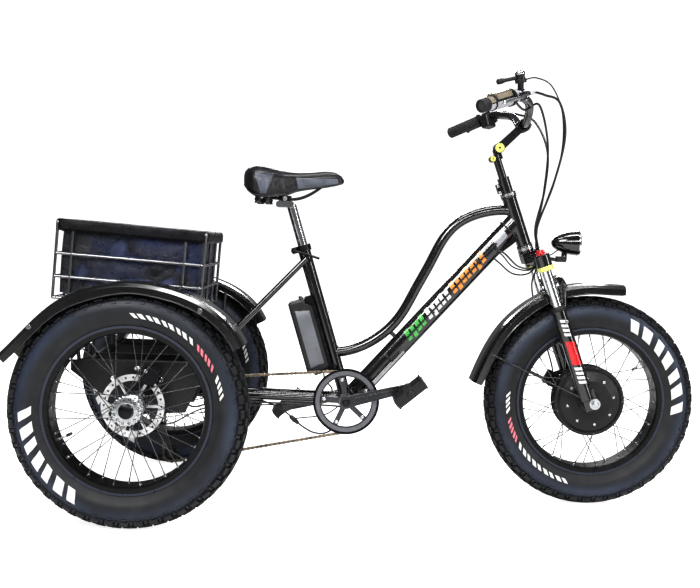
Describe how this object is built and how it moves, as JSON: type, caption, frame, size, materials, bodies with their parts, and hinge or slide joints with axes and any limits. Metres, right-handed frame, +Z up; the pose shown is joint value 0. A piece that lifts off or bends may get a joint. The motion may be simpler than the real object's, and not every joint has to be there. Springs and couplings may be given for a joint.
{
  "type": "adult tricycle",
  "caption": "Step-through electric adult tricycle with fat tyres, suspension fork, chain drive to a live rear axle and a lined wire cargo basket between the rear wheels.",
  "frame": {"origin": "ground level, bottom centre of the bounding box, on the centre plane", "axes": "+X forward, +Y to the rider's left, +Z up"},
  "size_m": [1.8381, 0.864, 1.1783],
  "materials": {
    "frame_paint": "gloss black enamel",
    "black_plate": "satin black powder coat",
    "bearing_steel": "ground steel",
    "fender_black": "gloss black",
    "bright_steel": "polished",
    "bag_nylon": "coated nylon, shiny, folded",
    "case_plastic": "semi-gloss moulded",
    "dark_steel": "blued steel",
    "chain_steel": "oiled chain steel",
    "ring_grey": "grey painted alloy",
    "crank_grey": "dark anodised alloy",
    "pedal_black": "black with metal rails",
    "tyre_rubber": "black rubber with white and pink sidewall blocks",
    "rim_black": "satin black with a machined edge",
    "spoke_steel": "stainless",
    "hub_alloy": "polished alloy",
    "motor_black": "satin black cast shell",
    "lower_black": "gloss black magnesium",
    "black_alloy": "black anodised",
    "bolt_gold": "yellow-gold anodised",
    "grip_rubber": "ribbed black rubber",
    "lever_alloy": "polished alloy",
    "lamp_shell": "gloss black",
    "lens_clear": "clear, ribbed",
    "saddle_skin": "black vinyl with dark grey side panels"
  },
  "bodies": {
    "frame": {"main_frame": "frame_paint", "rear_subframe": "black_plate", "frame_bearings": "bearing_steel", "seat_collar": "black_alloy", "rear_fenders": "fender_black", "fender_bolts": "bright_steel", "cargo_basket": "frame_paint", "basket_bag": "bag_nylon", "battery_mount": "black_alloy", "rear_calipers": "black_alloy", "derailleur": "dark_steel", "chain": "chain_steel"},
    "battery": {"battery_case": "case_plastic"},
    "seat": {"seatpost": "black_alloy", "saddle_rails": "bright_steel", "saddle": "saddle_skin"},
    "quick_release": {"seat_lever": "black_alloy"},
    "guide_wheel": {"guide_pulley": "pedal_black"},
    "tension_wheel": {"tension_pulley": "pedal_black"},
    "crankset": {"chainring": "ring_grey", "right_crank": "crank_grey", "left_crank": "crank_grey"},
    "right_pedal_body": {"right_pedal": "pedal_black"},
    "left_pedal_body": {"left_pedal": "pedal_black"},
    "drive_wheel": {"rear_axle": "dark_steel", "freewheel": "dark_steel", "right_hub": "hub_alloy", "right_spokes": "spoke_steel", "right_rim": "rim_black", "right_tyre": "tyre_rubber", "right_rotor": "bright_steel"},
    "left_wheel": {"left_hub": "hub_alloy", "left_spokes": "spoke_steel", "left_rim": "rim_black", "left_tyre": "tyre_rubber", "left_rotor": "bright_steel"},
    "fork": {"fork_crown": "lower_black", "stanchions": "bright_steel", "stem_riser": "black_alloy", "stem_bolts": "bolt_gold", "headlight_bracket": "black_plate"},
    "fork_slider": {"fork_lowers": "lower_black", "front_axle": "bright_steel", "front_fender": "fender_black", "front_caliper": "black_alloy"},
    "front_wheel": {"front_tyre": "tyre_rubber", "front_rim": "rim_black", "front_spokes": "spoke_steel", "hub_motor": "motor_black", "front_rotor": "bright_steel"},
    "cockpit": {"stem_arm": "black_alloy", "handlebar": "frame_paint", "left_grip": "grip_rubber", "control_mounts": "case_plastic"},
    "throttle": {"throttle_grip": "grip_rubber"},
    "right_lever": {"right_brake_lever": "lever_alloy"},
    "left_lever": {"left_brake_lever": "black_alloy"},
    "shifter": {"shift_lever": "case_plastic"},
    "headlight": {"headlight_shell": "lamp_shell", "headlight_lens": "lens_clear"}
  },
  "joints": [
    {"name": "steering", "type": "hinge", "parent": "frame", "child": "fork", "pos_m": [0.39905, 0, 0.7975], "axis": [-0.342, 0, 0.9397], "range_deg": [-45, 45]},
    {"name": "fork_travel", "type": "slide", "parent": "fork", "child": "fork_slider", "axis": [-0.342, 0, 0.9397], "range_m": [0, 0.04], "stiffness_N_per_m": 15000},
    {"name": "front_wheel_spin", "type": "hinge", "parent": "fork_slider", "child": "front_wheel", "pos_m": [0.62205, 0, 0.297], "axis": [0, 1, 0], "continuous": true},
    {"name": "stem_angle", "type": "hinge", "parent": "fork", "child": "cockpit", "pos_m": [0.34005, 0, 1.001], "axis": [0, 1, 0], "range_deg": [-20, 40]},
    {"name": "throttle_twist", "type": "hinge", "parent": "cockpit", "child": "throttle", "pos_m": [0.28065, -0.27789, 1.09083], "axis": [0.6901, 0.6648, 0.2861], "range_deg": [0, 70], "stiffness_Nm_per_rad": 0.05},
    {"name": "right_brake", "type": "hinge", "parent": "cockpit", "child": "right_lever", "pos_m": [0.36359, -0.24797, 1.11487], "axis": [-0.2061, -0.1985, 0.9582], "range_deg": [0, 12], "stiffness_Nm_per_rad": 0.6},
    {"name": "left_brake", "type": "hinge", "parent": "cockpit", "child": "left_lever", "pos_m": [0.36359, 0.24797, 1.11487], "axis": [0.2061, -0.1985, -0.9582], "range_deg": [0, 12], "stiffness_Nm_per_rad": 0.6},
    {"name": "shift_thumb", "type": "hinge", "parent": "cockpit", "child": "shifter", "pos_m": [0.35303, -0.21649, 1.16504], "axis": [-0.2061, -0.1985, 0.9582], "range_deg": [-30, 30]},
    {"name": "lamp_tilt", "type": "hinge", "parent": "fork", "child": "headlight", "pos_m": [0.53805, 0, 0.7], "axis": [0, 1, 0], "range_deg": [-12, 12]},
    {"name": "drive_wheel_spin", "type": "hinge", "parent": "frame", "child": "drive_wheel", "pos_m": [-0.60795, 0, 0.297], "axis": [0, 1, 0], "continuous": true},
    {"name": "left_wheel_spin", "type": "hinge", "parent": "frame", "child": "left_wheel", "pos_m": [-0.60795, 0, 0.297], "axis": [0, 1, 0], "continuous": true},
    {"name": "crank_spin", "type": "hinge", "parent": "frame", "child": "crankset", "pos_m": [-0.06795, 0, 0.282], "axis": [0, 1, 0], "continuous": true},
    {"name": "right_pedal_spin", "type": "hinge", "parent": "crankset", "child": "right_pedal_body", "pos_m": [0.10132, 0, 0.32641], "axis": [0, 1, 0], "continuous": true},
    {"name": "left_pedal_spin", "type": "hinge", "parent": "crankset", "child": "left_pedal_body", "pos_m": [-0.23722, 0, 0.23759], "axis": [0, 1, 0], "continuous": true},
    {"name": "guide_wheel_spin", "type": "hinge", "parent": "frame", "child": "guide_wheel", "pos_m": [-0.58995, 0, 0.233], "axis": [0, 1, 0], "continuous": true},
    {"name": "tension_wheel_spin", "type": "hinge", "parent": "frame", "child": "tension_wheel", "pos_m": [-0.54895, 0, 0.122], "axis": [0, 1, 0], "continuous": true},
    {"name": "seat_height", "type": "slide", "parent": "frame", "child": "seat", "axis": [-0.3007, 0, 0.9537], "range_m": [-0.08, 0.05]},
    {"name": "quick_release_turn", "type": "hinge", "parent": "frame", "child": "quick_release", "pos_m": [-0.22674, 0, 0.69434], "axis": [0, -1, 0], "range_deg": [0, 150]},
    {"name": "battery_slide", "type": "slide", "parent": "frame", "child": "battery", "axis": [-0.3007, 0, 0.9537], "range_m": [0, 0.03]}
  ],
  "couplings": [
    {"joint": "crank_spin", "follows": "drive_wheel_spin", "ratio": 0.33333},
    {"joint": "guide_wheel_spin", "follows": "drive_wheel_spin", "ratio": -1.2727},
    {"joint": "tension_wheel_spin", "follows": "drive_wheel_spin", "ratio": 1.2727}
  ]
}
